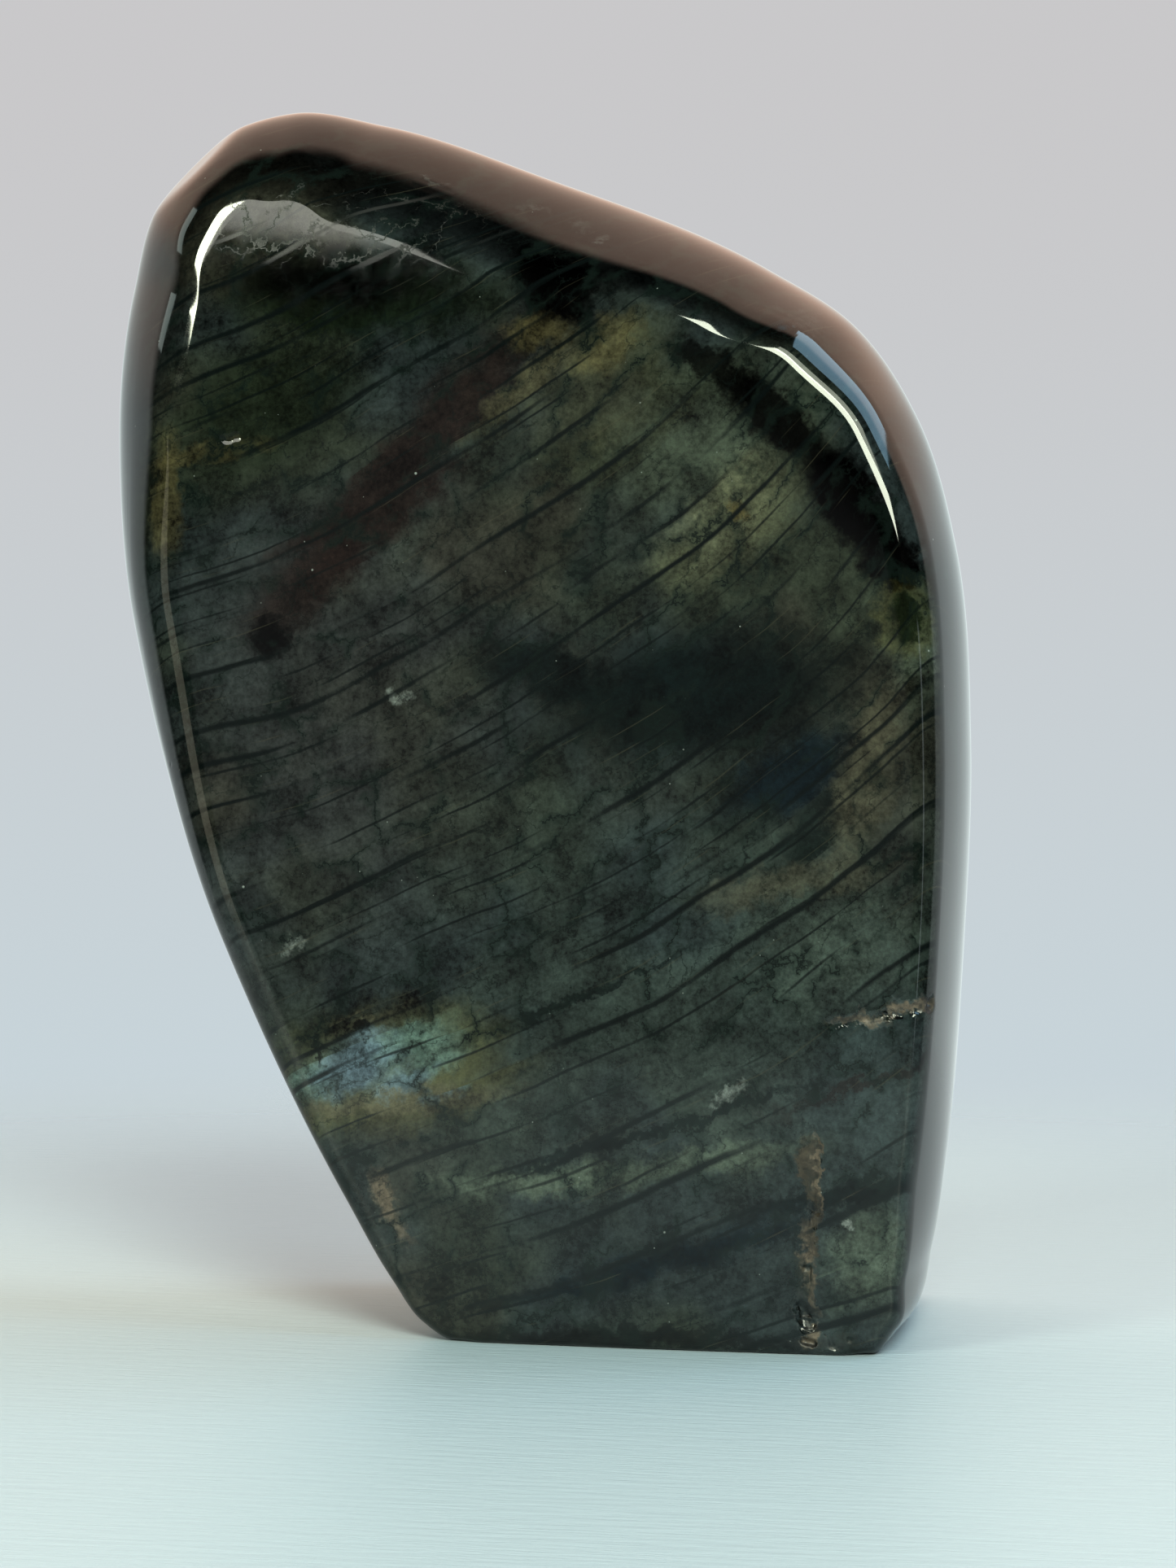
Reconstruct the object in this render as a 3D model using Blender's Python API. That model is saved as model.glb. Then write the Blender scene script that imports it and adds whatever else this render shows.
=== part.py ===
"""Polished labradorite freeform: one hand-ground stone standing on its flat sawn base."""

import math

import bpy

for old in list(bpy.data.objects):
    bpy.data.objects.remove(old, do_unlink=True)

# Everything below is in millimetres until the mesh is written, which is in metres
METRE = 0.001

# Widest line of the stone seen from the front, anticlockwise from the left end of the base.
# Each row: x, z, strip (how far the side leans in from that line to where the front bevel
# begins), ridge (distance from that line in to the ridge round the front face), drop (depth of
# the front bevel), undercut (how far the side leans in to the back bevel) and back (depth of
# the back bevel, which is twice as wide).
OUTLINE = [
    (-6.2, 0.0, 0.0, 1.4, 1.4, 2.5, 2.0),  # base, left end
    (-3.5, 0.0, 0.0, 0.8, 0.8, 2.5, 0.6),  # base, just inside its left end
    (29.6, 0.0, 0.0, 0.8, 0.8, 0.5, 0.6),  # base, just inside its right end
    (33.2, 0.0, 0.5, 2.2, 2.0, 0.5, 1.8),  # base, right end
    (35.8, 1.7, 1.0, 2.6, 2.1, 0.7, 1.9),  # small rounded corner on the right
    (37.3, 7.0, 1.4, 3.0, 2.2, 0.9, 2.1),  # right flank, just above the corner
    (38.7, 16.0, 1.8, 3.5, 2.4, 1.2, 2.4),  # right flank, low
    (40.5, 37.3, 1.7, 4.2, 2.4, 1.6, 2.6),  # right flank, middle
    (41.1, 56.0, 1.8, 4.8, 2.6, 1.8, 2.8),  # widest place on the right
    (39.7, 74.6, 1.8, 5.2, 2.8, 2.0, 3.0),  # right flank, high
    (36.0, 87.0, 2.6, 6.0, 2.8, 2.6, 3.2),  # right shoulder, low
    (30.1, 95.8, 3.8, 7.4, 2.6, 3.2, 3.2),  # right shoulder, high
    (21.7, 101.5, 4.8, 8.8, 2.6, 3.8, 3.2),  # low end of the top slope
    (0.0, 111.0, 6.6, 11.6, 2.8, 4.4, 3.2),  # middle of the top slope
    (-16.2, 116.6, 6.2, 11.4, 2.8, 4.4, 3.2),  # high end of the top slope
    (-25.0, 118.0, 4.9, 10.2, 2.8, 4.2, 3.2),  # apex
    (-33.5, 115.1, 3.8, 9.0, 2.8, 3.8, 3.0),  # upper left shoulder
    (-39.0, 109.1, 3.6, 9.2, 3.0, 3.6, 3.0),  # upper left corner
    (-41.7, 100.7, 4.0, 9.6, 3.2, 3.4, 3.0),  # left flank, just below the corner
    (-43.0, 86.9, 3.4, 8.4, 3.2, 3.4, 3.0),  # widest place on the left
    (-40.6, 68.1, 1.8, 6.6, 3.2, 4.2, 2.8),  # left flank, high
    (-30.2, 37.3, 0.4, 4.4, 2.8, 5.2, 2.6),  # left flank, low
    (-17.1, 13.0, 0.0, 2.4, 2.0, 4.8, 2.4),  # above the left corner
    (-12.4, 5.3, 0.0, 2.1, 1.9, 4.0, 2.2),  # start of the left corner
    (-9.5, 1.6, 0.0, 1.8, 1.7, 3.2, 2.1),  # rounded corner on the left
]
BASE_LEFT = 0
BASE_RIGHT = 3

# The front and back faces: nearly flat, closer together at the top than at the base
CENTRE_X = 0.0
CENTRE_Z = 60.0
FRONT_AT_BASE = -18.0
FRONT_LEAN = 0.030
FRONT_TWIST = -0.050
BACK_AT_BASE = 18.0
BACK_LEAN = -0.035
BACK_TWIST = 0.020
DOME = 1.4
DOME_HALF_WIDTH = 40.0
DOME_HALF_HEIGHT = 60.0

# How the rim turns from one face to the other. A small weight makes a flat bevel between two
# ridges, a large one a plain round. The bulge is the power of the side's curve. The slight
# lean keeps the widest line off the edge of a side that leans only one way.
BEVEL_WEIGHT = 0.5
SIDE_BULGE = 2.0
SLIGHT_LEAN = 0.6
BACK_BEVEL_WIDTH = 2.0

# The flat ground across the upper left corner: its outward direction, how far out it lies
# along that direction, and the width over which its edges are softened
CORNER_FLAT = (-0.62, -0.40, 0.67)
CORNER_FLAT_REACH = 98.0
CORNER_FLAT_SOFTNESS = 0.5

# How finely the surface is divided
STATION_SPACING = 3.0
SHORTEST_SEGMENT_STATIONS = 2
FACE_RINGS = 6
BEVEL_RINGS = 6
SIDE_RINGS = 5

# The polished stone as it looks without its markings
STONE_COLOUR = (0.045, 0.055, 0.052, 1.0)
STONE_ROUGHNESS = 0.12


def chord(first, second):
    return math.hypot(second[0] - first[0], second[1] - first[1])


def on_base(index):
    return BASE_LEFT <= index <= BASE_RIGHT


def tangent(index):
    """Direction of the outline at an anchor. The base is straight, so it is level there."""
    if on_base(index):
        return (1.0, 0.0)
    before = OUTLINE[index - 1]
    here = OUTLINE[index]
    after = OUTLINE[(index + 1) % len(OUTLINE)]
    back = chord(before, here)
    ahead = chord(here, after)
    slope = [
        (here[axis] - before[axis]) / back * ahead + (after[axis] - here[axis]) / ahead * back
        for axis in (0, 1)
    ]
    size = math.hypot(*slope)
    return (slope[0] / size, slope[1] / size)


def leans(index):
    """How far the front and back edges of the side are shifted inward at an anchor.

    On the base the shift runs along it, so that the base stays flat.
    """
    x, _, strip, _, _, undercut, _ = OUTLINE[index]
    along = tangent(index)
    inward = (-along[1], along[0])
    if on_base(index):
        inward = (math.copysign(1.0, CENTRE_X - x), 0.0)
    return [strip * inward[0], strip * inward[1], undercut * inward[0], undercut * inward[1]]


def stations():
    """Points along the outline, each with its inward normal, side leans and rim values."""
    found = []
    for index, start in enumerate(OUTLINE):
        following = (index + 1) % len(OUTLINE)
        end = OUTLINE[following]
        length = chord(start, end)
        leaving = tangent(index)
        arriving = tangent(following)
        steps = max(SHORTEST_SEGMENT_STATIONS, round(length / STATION_SPACING))
        for step in range(steps):
            t = step / steps
            point = []
            slope = []
            for axis in (0, 1):
                a = start[axis]
                b = end[axis]
                m = leaving[axis] * length
                n = arriving[axis] * length
                point.append(
                    a + m * t + (3 * (b - a) - 2 * m - n) * t**2 + (2 * (a - b) + m + n) * t**3
                )
                slope.append(m + 2 * (3 * (b - a) - 2 * m - n) * t + 3 * (2 * (a - b) + m + n) * t**2)
            size = math.hypot(*slope)
            inward = (-slope[1] / size, slope[0] / size)
            ease = t * t * (3 - 2 * t)
            rim = between(start[2:], end[2:], ease)
            shifts = between(leans(index), leans(following), ease)
            found.append((point, inward, shifts, rim))
    return found


def between(first, second, share):
    return [a + (b - a) * share for a, b in zip(first, second)]


def dome(x, z):
    across = (x - CENTRE_X) / DOME_HALF_WIDTH
    up = (z - CENTRE_Z) / DOME_HALF_HEIGHT
    return DOME * (across * across + up * up)


def front_face(x, z):
    return FRONT_AT_BASE + FRONT_LEAN * z + FRONT_TWIST * x + dome(x, z)


def back_face(x, z):
    return BACK_AT_BASE + BACK_LEAN * z + BACK_TWIST * x - dome(x, z)


def toward_centre(start, inward, inset):
    """The place at this distance inside the outline, on the line from the start to the centre."""
    reach_x = CENTRE_X - start[0]
    reach_z = CENTRE_Z - start[1]
    share = inset / (inward[0] * reach_x + inward[1] * reach_z)
    return start[0] + reach_x * share, start[1] + reach_z * share


def side_point(station, share):
    """Place and direction of the side at this share of the way from its front to its back edge."""
    (x, z), _, shifts, (strip, _, drop, undercut, back) = station
    front = front_face(x, z) + drop
    length = back_face(x, z) - back - front
    widest_at = (strip + SLIGHT_LEAN) / (strip + undercut + 2 * SLIGHT_LEAN)
    ahead = max(0.0, 1 - share / widest_at)
    behind = max(0.0, (share - widest_at) / (1 - widest_at))
    place = []
    change = []
    for start, front_shift, back_shift in ((x, shifts[0], shifts[2]), (z, shifts[1], shifts[3])):
        place.append(start + front_shift * ahead**SIDE_BULGE + back_shift * behind**SIDE_BULGE)
        leaving = front_shift * ahead ** (SIDE_BULGE - 1) / widest_at
        arriving = back_shift * behind ** (SIDE_BULGE - 1) / (1 - widest_at)
        change.append((arriving - leaving) * SIDE_BULGE / length)
    return (place[0], front + length * share, place[1]), (change[0], 1.0, change[1])


def bevel(side, corner, ridge):
    """Points of a conic from the side round the corner to the ridge."""
    line = []
    for step in range(BEVEL_RINGS + 1):
        share = step / BEVEL_RINGS
        near = (1 - share) ** 2
        turn = 2 * BEVEL_WEIGHT * share * (1 - share)
        far = share**2
        line.append([
            (near * a + turn * b + far * c) / (near + turn + far)
            for a, b, c in zip(side, corner, ridge)
        ])
    return line


def rim_and_face(station, share, depth, inset, face):
    """Points from the side, where it meets a bevel, over the ridge and in across a face."""
    side, along = side_point(station, share)
    corner = [a - b * depth for a, b in zip(side, along)]
    widest, inward = station[:2]
    gone = (corner[0] - widest[0]) * inward[0] + (corner[2] - widest[1]) * inward[1]
    x, z = toward_centre((corner[0], corner[2]), inward, inset - gone)
    line = bevel(side, corner, (x, face(x, z), z))
    for ring in range(FACE_RINGS - 1, 0, -1):
        across, up = between((CENTRE_X, CENTRE_Z), (x, z), ring / FACE_RINGS)
        line.append((across, face(across, up), up))
    return line


def section(station):
    """One line of points from near the front centre round the rim to near the back centre."""
    _, ridge, drop, undercut, back = station[3]
    line = rim_and_face(station, 0.0, drop, ridge, front_face)[::-1]
    for ring in range(1, SIDE_RINGS):
        line.append(side_point(station, ring / SIDE_RINGS)[0])
    return line + rim_and_face(station, 1.0, -back, undercut + BACK_BEVEL_WIDTH * back, back_face)


def ground(point):
    """The point, brought down to the corner flat where it stands out past it."""
    size = math.hypot(*CORNER_FLAT)
    reach = sum(a * b for a, b in zip(point, CORNER_FLAT)) / size
    over = reach - CORNER_FLAT_REACH / size
    if over <= -CORNER_FLAT_SOFTNESS:
        return point
    cut = over
    if over < CORNER_FLAT_SOFTNESS:
        cut = (over + CORNER_FLAT_SOFTNESS) ** 2 / (4 * CORNER_FLAT_SOFTNESS)
    return [a - cut * b / size for a, b in zip(point, CORNER_FLAT)]


# The mesh: one line of points per station, closed round the outline, with a pole on each face
lines = [[ground(point) for point in section(station)] for station in stations()]
count = len(lines[0])
points = [(CENTRE_X, front_face(CENTRE_X, CENTRE_Z), CENTRE_Z)]
for line in lines:
    points.extend(line)
points.append((CENTRE_X, back_face(CENTRE_X, CENTRE_Z), CENTRE_Z))
faces = []
for number in range(len(lines)):
    here = 1 + number * count
    there = 1 + (number + 1) % len(lines) * count
    faces.append((0, here, there))
    for ring in range(count - 1):
        faces.append((here + ring, here + ring + 1, there + ring + 1, there + ring))
    faces.append((len(points) - 1, there + count - 1, here + count - 1))

# The middle of the stone's width and thickness stands over the origin
middle = [
    (min(point[axis] for point in points) + max(point[axis] for point in points)) / 2
    for axis in (0, 1)
]
points = [
    ((x - middle[0]) * METRE, (y - middle[1]) * METRE, z * METRE)
    for x, y, z in points
]

mesh = bpy.data.meshes.new("polished_stone")
mesh.from_pydata(points, [], faces)
mesh.validate()
mesh.shade_smooth()
stone = bpy.data.objects.new("polished_stone", mesh)
bpy.context.scene.collection.objects.link(stone)

material = bpy.data.materials.new("polished_labradorite")
material.use_nodes = True
shader = material.node_tree.nodes["Principled BSDF"]
shader.inputs["Base Color"].default_value = STONE_COLOUR
shader.inputs["Roughness"].default_value = STONE_ROUGHNESS
shader.inputs["Metallic"].default_value = 0.0
mesh.materials.append(material)
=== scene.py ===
"""Polished labradorite freeform: the stone's fine form and finish, its table, its light and camera."""

import math

import bmesh
import bpy
import mathutils
from mathutils import Matrix, Vector


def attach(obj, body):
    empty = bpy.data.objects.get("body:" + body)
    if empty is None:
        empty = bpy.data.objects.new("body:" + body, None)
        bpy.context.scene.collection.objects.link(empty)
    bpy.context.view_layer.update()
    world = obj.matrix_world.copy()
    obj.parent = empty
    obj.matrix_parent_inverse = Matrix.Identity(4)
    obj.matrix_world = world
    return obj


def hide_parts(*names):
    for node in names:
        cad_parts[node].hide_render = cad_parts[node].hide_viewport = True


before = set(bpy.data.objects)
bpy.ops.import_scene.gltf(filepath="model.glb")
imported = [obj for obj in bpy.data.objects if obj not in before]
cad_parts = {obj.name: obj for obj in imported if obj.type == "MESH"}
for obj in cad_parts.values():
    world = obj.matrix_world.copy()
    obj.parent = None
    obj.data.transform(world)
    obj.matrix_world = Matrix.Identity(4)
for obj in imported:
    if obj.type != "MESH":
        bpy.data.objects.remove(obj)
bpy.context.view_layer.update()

# The stone
# One piece of labradorite, sawn flat underneath, ground to shape by hand on a wheel, so that its
# rim is a run of soft bevels, and then polished all over. Its form follows the solid's, finely
# divided, with slightly fuller bevels and the small chips and open crack that the solid leaves out.

# Widest line of the stone seen from the front, in millimetres, anticlockwise from the left end
# of the base. Each row: x, z, strip (how far the side leans in from that line to where the front
# bevel begins), ridge (distance from that line in to the ridge round the front face), drop
# (depth of the front bevel), undercut (how far the side leans in to the back bevel) and back
# (depth of the back bevel, which is twice as wide).
OUTLINE = [
    (-6.2, 0.0, 0.0, 1.4, 1.4, 2.5, 2.0),  # base, left end
    (-3.5, 0.0, 0.0, 0.8, 0.8, 2.5, 0.6),  # base, just inside its left end
    (29.6, 0.0, 0.0, 0.8, 0.8, 0.5, 0.6),  # base, just inside its right end
    (33.2, 0.0, 0.5, 2.2, 2.0, 0.5, 1.8),  # base, right end
    (35.8, 1.7, 1.0, 2.6, 2.1, 0.7, 1.9),  # small rounded corner on the right
    (37.3, 7.0, 1.4, 3.0, 2.2, 0.9, 2.1),  # right flank, just above the corner
    (38.7, 16.0, 1.8, 3.5, 2.4, 1.2, 2.4),  # right flank, low
    (40.5, 37.3, 1.7, 4.2, 2.4, 1.6, 2.6),  # right flank, middle
    (41.1, 56.0, 1.8, 4.8, 2.6, 1.8, 2.8),  # widest place on the right
    (39.7, 74.6, 1.8, 5.2, 2.8, 2.0, 3.0),  # right flank, high
    (36.0, 87.0, 2.6, 6.0, 2.8, 2.6, 3.2),  # right shoulder, low
    (30.1, 95.8, 3.8, 7.4, 2.6, 3.2, 3.2),  # right shoulder, high
    (21.7, 101.5, 4.8, 8.8, 2.6, 3.8, 3.2),  # low end of the top slope
    (0.0, 111.0, 6.6, 11.6, 2.8, 4.4, 3.2),  # middle of the top slope
    (-16.2, 116.6, 6.2, 11.4, 2.8, 4.4, 3.2),  # high end of the top slope
    (-25.0, 118.0, 4.9, 10.2, 2.8, 4.2, 3.2),  # apex
    (-33.5, 115.1, 3.8, 9.0, 2.8, 3.8, 3.0),  # upper left shoulder
    (-39.0, 109.1, 3.6, 9.2, 3.0, 3.6, 3.0),  # upper left corner
    (-41.7, 100.7, 4.0, 9.6, 3.2, 3.4, 3.0),  # left flank, just below the corner
    (-43.0, 86.9, 3.4, 8.4, 3.2, 3.4, 3.0),  # widest place on the left
    (-40.6, 68.1, 1.8, 6.6, 3.2, 4.2, 2.8),  # left flank, high
    (-30.2, 37.3, 0.4, 4.4, 2.8, 5.2, 2.6),  # left flank, low
    (-17.1, 13.0, 0.0, 2.4, 2.0, 4.8, 2.4),  # above the left corner
    (-12.4, 5.3, 0.0, 2.1, 1.9, 4.0, 2.2),  # start of the left corner
    (-9.5, 1.6, 0.0, 1.8, 1.7, 3.2, 2.1),  # rounded corner on the left
]

# Rows of the outline between which the base runs, and the point on which both faces' rings close in
BASE_LEFT = 0
BASE_RIGHT = 3
CENTRE_X = 0.0
CENTRE_Z = 60.0

# Front and back face: each one's plane at the middle of the base, its shift backward for each
# millimetre upward and to the right, and how far the dome falls away from the plane at its half
# width and at its half height
FRONT_AT_BASE = -18.0
FRONT_LEAN = 0.030
FRONT_TWIST = -0.050
BACK_AT_BASE = 18.0
BACK_LEAN = -0.035
BACK_TWIST = 0.020
DOME = 1.4
DOME_HALF_WIDTH = 40.0
DOME_HALF_HEIGHT = 60.0

# The bevels' fullness, the power of the sides' bulge, the little that is added to both of a side's
# leans when they place its widest line between them, and the back bevel's width over its depth
BEVEL_WEIGHT = 0.8
SIDE_BULGE = 2.0
SLIGHT_LEAN = 0.6
BACK_BEVEL_WIDTH = 2.0

# The flat ground across the upper left corner: the way it faces, its reach that way, and how
# softly it meets the rest
CORNER_FLAT = (-0.62, -0.40, 0.67)
CORNER_FLAT_REACH = 98.0
CORNER_FLAT_SOFTNESS = 0.5

# Divisions of the surface. Toward the middle of a face every second line of points ends, twice,
# so that the triangles there don't become needles.
STATION_SPACING = 0.50
STATIONS_COME_IN = 4
FACE_RINGS = 40
LINES_END_AT = (22, 11)
BEVEL_RINGS = 18
SIDE_RINGS = 26


def chord(first, second):
    return math.hypot(second[0] - first[0], second[1] - first[1])


def on_base(index):
    return BASE_LEFT <= index <= BASE_RIGHT


def tangent(index):
    """Direction of the outline at an anchor. The base is straight, so it is level there."""
    if on_base(index):
        return (1.0, 0.0)
    before = OUTLINE[index - 1]
    here = OUTLINE[index]
    after = OUTLINE[(index + 1) % len(OUTLINE)]
    back = chord(before, here)
    ahead = chord(here, after)
    slope = [
        (here[axis] - before[axis]) / back * ahead + (after[axis] - here[axis]) / ahead * back
        for axis in (0, 1)
    ]
    size = math.hypot(*slope)
    return (slope[0] / size, slope[1] / size)


def leans(index):
    """Inward shifts of the side's front and back edges at an anchor, along the base on the base."""
    x, _, strip, _, _, undercut, _ = OUTLINE[index]
    along = tangent(index)
    inward = (-along[1], along[0])
    if on_base(index):
        inward = (math.copysign(1.0, CENTRE_X - x), 0.0)
    return [strip * inward[0], strip * inward[1], undercut * inward[0], undercut * inward[1]]


def between(first, second, share):
    return [a + (b - a) * share for a, b in zip(first, second)]


def stations():
    """Points along the outline, each with its inward normal, side leans and rim values."""
    found = []
    for index, start in enumerate(OUTLINE):
        following = (index + 1) % len(OUTLINE)
        end = OUTLINE[following]
        length = chord(start, end)
        leaving = tangent(index)
        arriving = tangent(following)
        steps = STATIONS_COME_IN * max(1, round(length / STATION_SPACING / STATIONS_COME_IN))
        for step in range(steps):
            t = step / steps
            point = []
            slope = []
            for axis in (0, 1):
                a = start[axis]
                b = end[axis]
                m = leaving[axis] * length
                n = arriving[axis] * length
                point.append(
                    a + m * t + (3 * (b - a) - 2 * m - n) * t**2 + (2 * (a - b) + m + n) * t**3
                )
                slope.append(m + 2 * (3 * (b - a) - 2 * m - n) * t + 3 * (2 * (a - b) + m + n) * t**2)
            size = math.hypot(*slope)
            inward = (-slope[1] / size, slope[0] / size)
            ease = t * t * (3 - 2 * t)
            rim = between(start[2:], end[2:], ease)
            shifts = between(leans(index), leans(following), ease)
            found.append((point, inward, shifts, rim))
    return found


def dome(x, z):
    across = (x - CENTRE_X) / DOME_HALF_WIDTH
    up = (z - CENTRE_Z) / DOME_HALF_HEIGHT
    return DOME * (across * across + up * up)


def front_face(x, z):
    return FRONT_AT_BASE + FRONT_LEAN * z + FRONT_TWIST * x + dome(x, z)


def back_face(x, z):
    return BACK_AT_BASE + BACK_LEAN * z + BACK_TWIST * x - dome(x, z)


def toward_centre(start, inward, inset):
    """The place at this distance inside the outline, on the line from the start to the centre."""
    reach_x = CENTRE_X - start[0]
    reach_z = CENTRE_Z - start[1]
    share = inset / (inward[0] * reach_x + inward[1] * reach_z)
    return start[0] + reach_x * share, start[1] + reach_z * share


def side_point(station, share):
    """Place and direction of the side at this share of the way from its front to its back edge."""
    (x, z), _, shifts, (strip, _, drop, undercut, back) = station
    front = front_face(x, z) + drop
    length = back_face(x, z) - back - front
    widest_at = (strip + SLIGHT_LEAN) / (strip + undercut + 2 * SLIGHT_LEAN)
    ahead = max(0.0, 1 - share / widest_at)
    behind = max(0.0, (share - widest_at) / (1 - widest_at))
    place = []
    change = []
    for start, front_shift, back_shift in ((x, shifts[0], shifts[2]), (z, shifts[1], shifts[3])):
        place.append(start + front_shift * ahead**SIDE_BULGE + back_shift * behind**SIDE_BULGE)
        leaving = front_shift * ahead ** (SIDE_BULGE - 1) / widest_at
        arriving = back_shift * behind ** (SIDE_BULGE - 1) / (1 - widest_at)
        change.append((arriving - leaving) * SIDE_BULGE / length)
    return (place[0], front + length * share, place[1]), (change[0], 1.0, change[1])


def bevel(side, corner, ridge):
    """Points of a conic from the side round the corner to the ridge."""
    line = []
    for step in range(BEVEL_RINGS + 1):
        share = step / BEVEL_RINGS
        near = (1 - share) ** 2
        turn = 2 * BEVEL_WEIGHT * share * (1 - share)
        far = share**2
        line.append([
            (near * a + turn * b + far * c) / (near + turn + far)
            for a, b, c in zip(side, corner, ridge)
        ])
    return line


def rim_and_face(station, share, depth, inset, face):
    """Points from the side, where it meets a bevel, over the ridge and in across a face."""
    side, along = side_point(station, share)
    corner = [a - b * depth for a, b in zip(side, along)]
    widest, inward = station[:2]
    gone = (corner[0] - widest[0]) * inward[0] + (corner[2] - widest[1]) * inward[1]
    x, z = toward_centre((corner[0], corner[2]), inward, inset - gone)
    line = bevel(side, corner, (x, face(x, z), z))
    for ring in range(FACE_RINGS - 1, 0, -1):
        across, up = between((CENTRE_X, CENTRE_Z), (x, z), ring / FACE_RINGS)
        line.append((across, face(across, up), up))
    return line


def section(station):
    """One line of points from near the front centre round the rim to near the back centre."""
    _, ridge, drop, undercut, back = station[3]
    line = rim_and_face(station, 0.0, drop, ridge, front_face)[::-1]
    for ring in range(1, SIDE_RINGS):
        line.append(side_point(station, ring / SIDE_RINGS)[0])
    return line + rim_and_face(station, 1.0, -back, undercut + BACK_BEVEL_WIDTH * back, back_face)


def ground(point):
    """The point, brought down to the corner flat where it stands out past it."""
    size = math.hypot(*CORNER_FLAT)
    reach = sum(a * b for a, b in zip(point, CORNER_FLAT)) / size
    over = reach - CORNER_FLAT_REACH / size
    if over <= -CORNER_FLAT_SOFTNESS:
        return point
    cut = over
    if over < CORNER_FLAT_SOFTNESS:
        cut = (over + CORNER_FLAT_SOFTNESS) ** 2 / (4 * CORNER_FLAT_SOFTNESS)
    return [a - cut * b / size for a, b in zip(point, CORNER_FLAT)]


def stride(ring, last):
    """Every how many lines have a point on this ring: fewer near the middle of either face."""
    from_middle = min(ring, last - ring)
    return 2 ** sum(from_middle < end for end in LINES_END_AT)


def stone_mesh():
    """The stone's surface as points in millimetres and faces."""
    lines = [[ground(point) for point in section(station)] for station in stations()]
    last = len(lines[0]) - 1
    points = [(CENTRE_X, front_face(CENTRE_X, CENTRE_Z), CENTRE_Z)]
    rings = []
    for ring in range(last + 1):
        step = stride(ring, last)
        numbers = {}
        for line in range(0, len(lines), step):
            numbers[line] = len(points)
            points.append(lines[line][ring])
        rings.append((step, numbers))
    points.append((CENTRE_X, back_face(CENTRE_X, CENTRE_Z), CENTRE_Z))
    faces = []
    for (step, near), (next_step, far) in zip(rings, rings[1:]):
        wide = max(step, next_step)
        for line in range(0, len(lines), wide):
            end = line + wide
            up = [near[number % len(lines)] for number in range(line, end + 1, step)]
            down = [far[number % len(lines)] for number in range(line, end + 1, next_step)]
            faces.append(up[:1] + down + up[:0:-1])
    for ring, pole, turn in ((0, 0, 1), (last, len(points) - 1, -1)):
        step, numbers = rings[ring]
        for line in range(0, len(lines), step):
            pair = [numbers[line], numbers[(line + step) % len(lines)]]
            faces.append([pole] + pair[::turn])
    return points, faces


stone_points, stone_faces = stone_mesh()

# Small losses from the surface, along short straight runs. Each row: x and z of one end and of
# the other, how far behind the front face it lies, half width and depth, in millimetres.
LOSSES = [
    (27.9, 20.0, 27.5, 12.4, 0.0, 0.50, 0.16),  # open crack at the lower right
    (27.5, 12.4, 27.0, 7.9, 0.0, 0.45, 0.16),
    (27.0, 7.9, 26.6, 2.6, 0.0, 0.50, 0.20),
    (26.3, 4.3, 27.2, 3.0, 0.0, 0.80, 0.35),
    (29.3, 30.3, 33.9, 31.1, 0.0, 0.45, 0.20),  # row of flakes running to the right edge
    (34.4, 31.3, 37.2, 31.9, 0.2, 0.60, 0.30),
    (37.8, 32.1, 40.0, 32.6, 1.4, 0.70, 0.35),
    (26.7, 1.3, 27.4, 1.1, 0.2, 0.50, 0.40),  # pits above the base
    (29.1, 1.0, 29.6, 0.9, 0.3, 0.45, 0.35),
    (30.8, 1.5, 31.0, 1.5, 0.2, 0.35, 0.30),
    (-34.2, 54.4, -34.1, 53.4, 2.6, 0.75, 0.40),  # chips on the left edge
    (-40.3, 77.9, -40.2, 77.2, 2.8, 0.70, 0.35),
    (-28.9, 84.7, -27.6, 85.0, 0.0, 0.35, 0.05),  # shallow nick in the front face
    (-9.9, 109.6, -8.4, 109.2, 2.6, 0.55, 0.28),  # scratches and flakes along the top edge
    (-0.8, 107.0, 1.4, 106.0, 2.7, 0.45, 0.22),
    (3.6, 105.2, 5.6, 104.4, 2.7, 0.60, 0.30),
    (6.8, 103.9, 7.6, 103.5, 2.6, 0.45, 0.22),
    (24.2, 96.2, 27.4, 94.4, 2.2, 0.70, 0.25),  # pale flake on the right shoulder
    (34.6, 4.4, 31.4, 3.5, 0.4, 0.30, 0.12),  # nick above the right corner
]

# Round each, the surface is divided this far out and this many times, down to this edge length.
# The rim wanders by a share of the half width, and the bottom is uneven by a share of the depth.
LOSS_REACHES = 1.2
LOSS_DIVISIONS = 2
SHORTEST_EDGE = 0.2
RIM_WANDERS = 0.35
RIM_SCALE = 1.1
WIDEST_RIM = 1.3
ROUGH_BOTTOM = 0.6
ROUGH_BOTTOM_SCALE = 2.3


def loss_ends(row):
    """The two ends of a loss, in space."""
    x, z, far_x, far_z, behind = row[:5]
    start = Vector((x, front_face(x, z) + behind, z))
    return start, Vector((far_x, front_face(far_x, far_z) + behind, far_z))


def distance_to(point, ends):
    """Shortest way from the point to the line between the ends."""
    start, end = ends
    run = end - start
    share = (point - start).dot(run) / run.length_squared
    return (point - start - run * min(1.0, max(0.0, share))).length


def divide(shape, ends, reach):
    """Divides the faces of the shape that lie this near to the line between the ends."""
    near = {
        face for vertex in shape.verts
        if distance_to(vertex.co, ends) < reach
        for face in vertex.link_faces
    }
    edges = {edge for face in near for edge in face.edges if edge.calc_length() > SHORTEST_EDGE}
    edges = sorted(edges, key=lambda edge: edge.index)
    bmesh.ops.subdivide_edges(shape, edges=edges, cuts=1, use_grid_fill=True)
    shape.verts.index_update()
    shape.edges.index_update()


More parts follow.
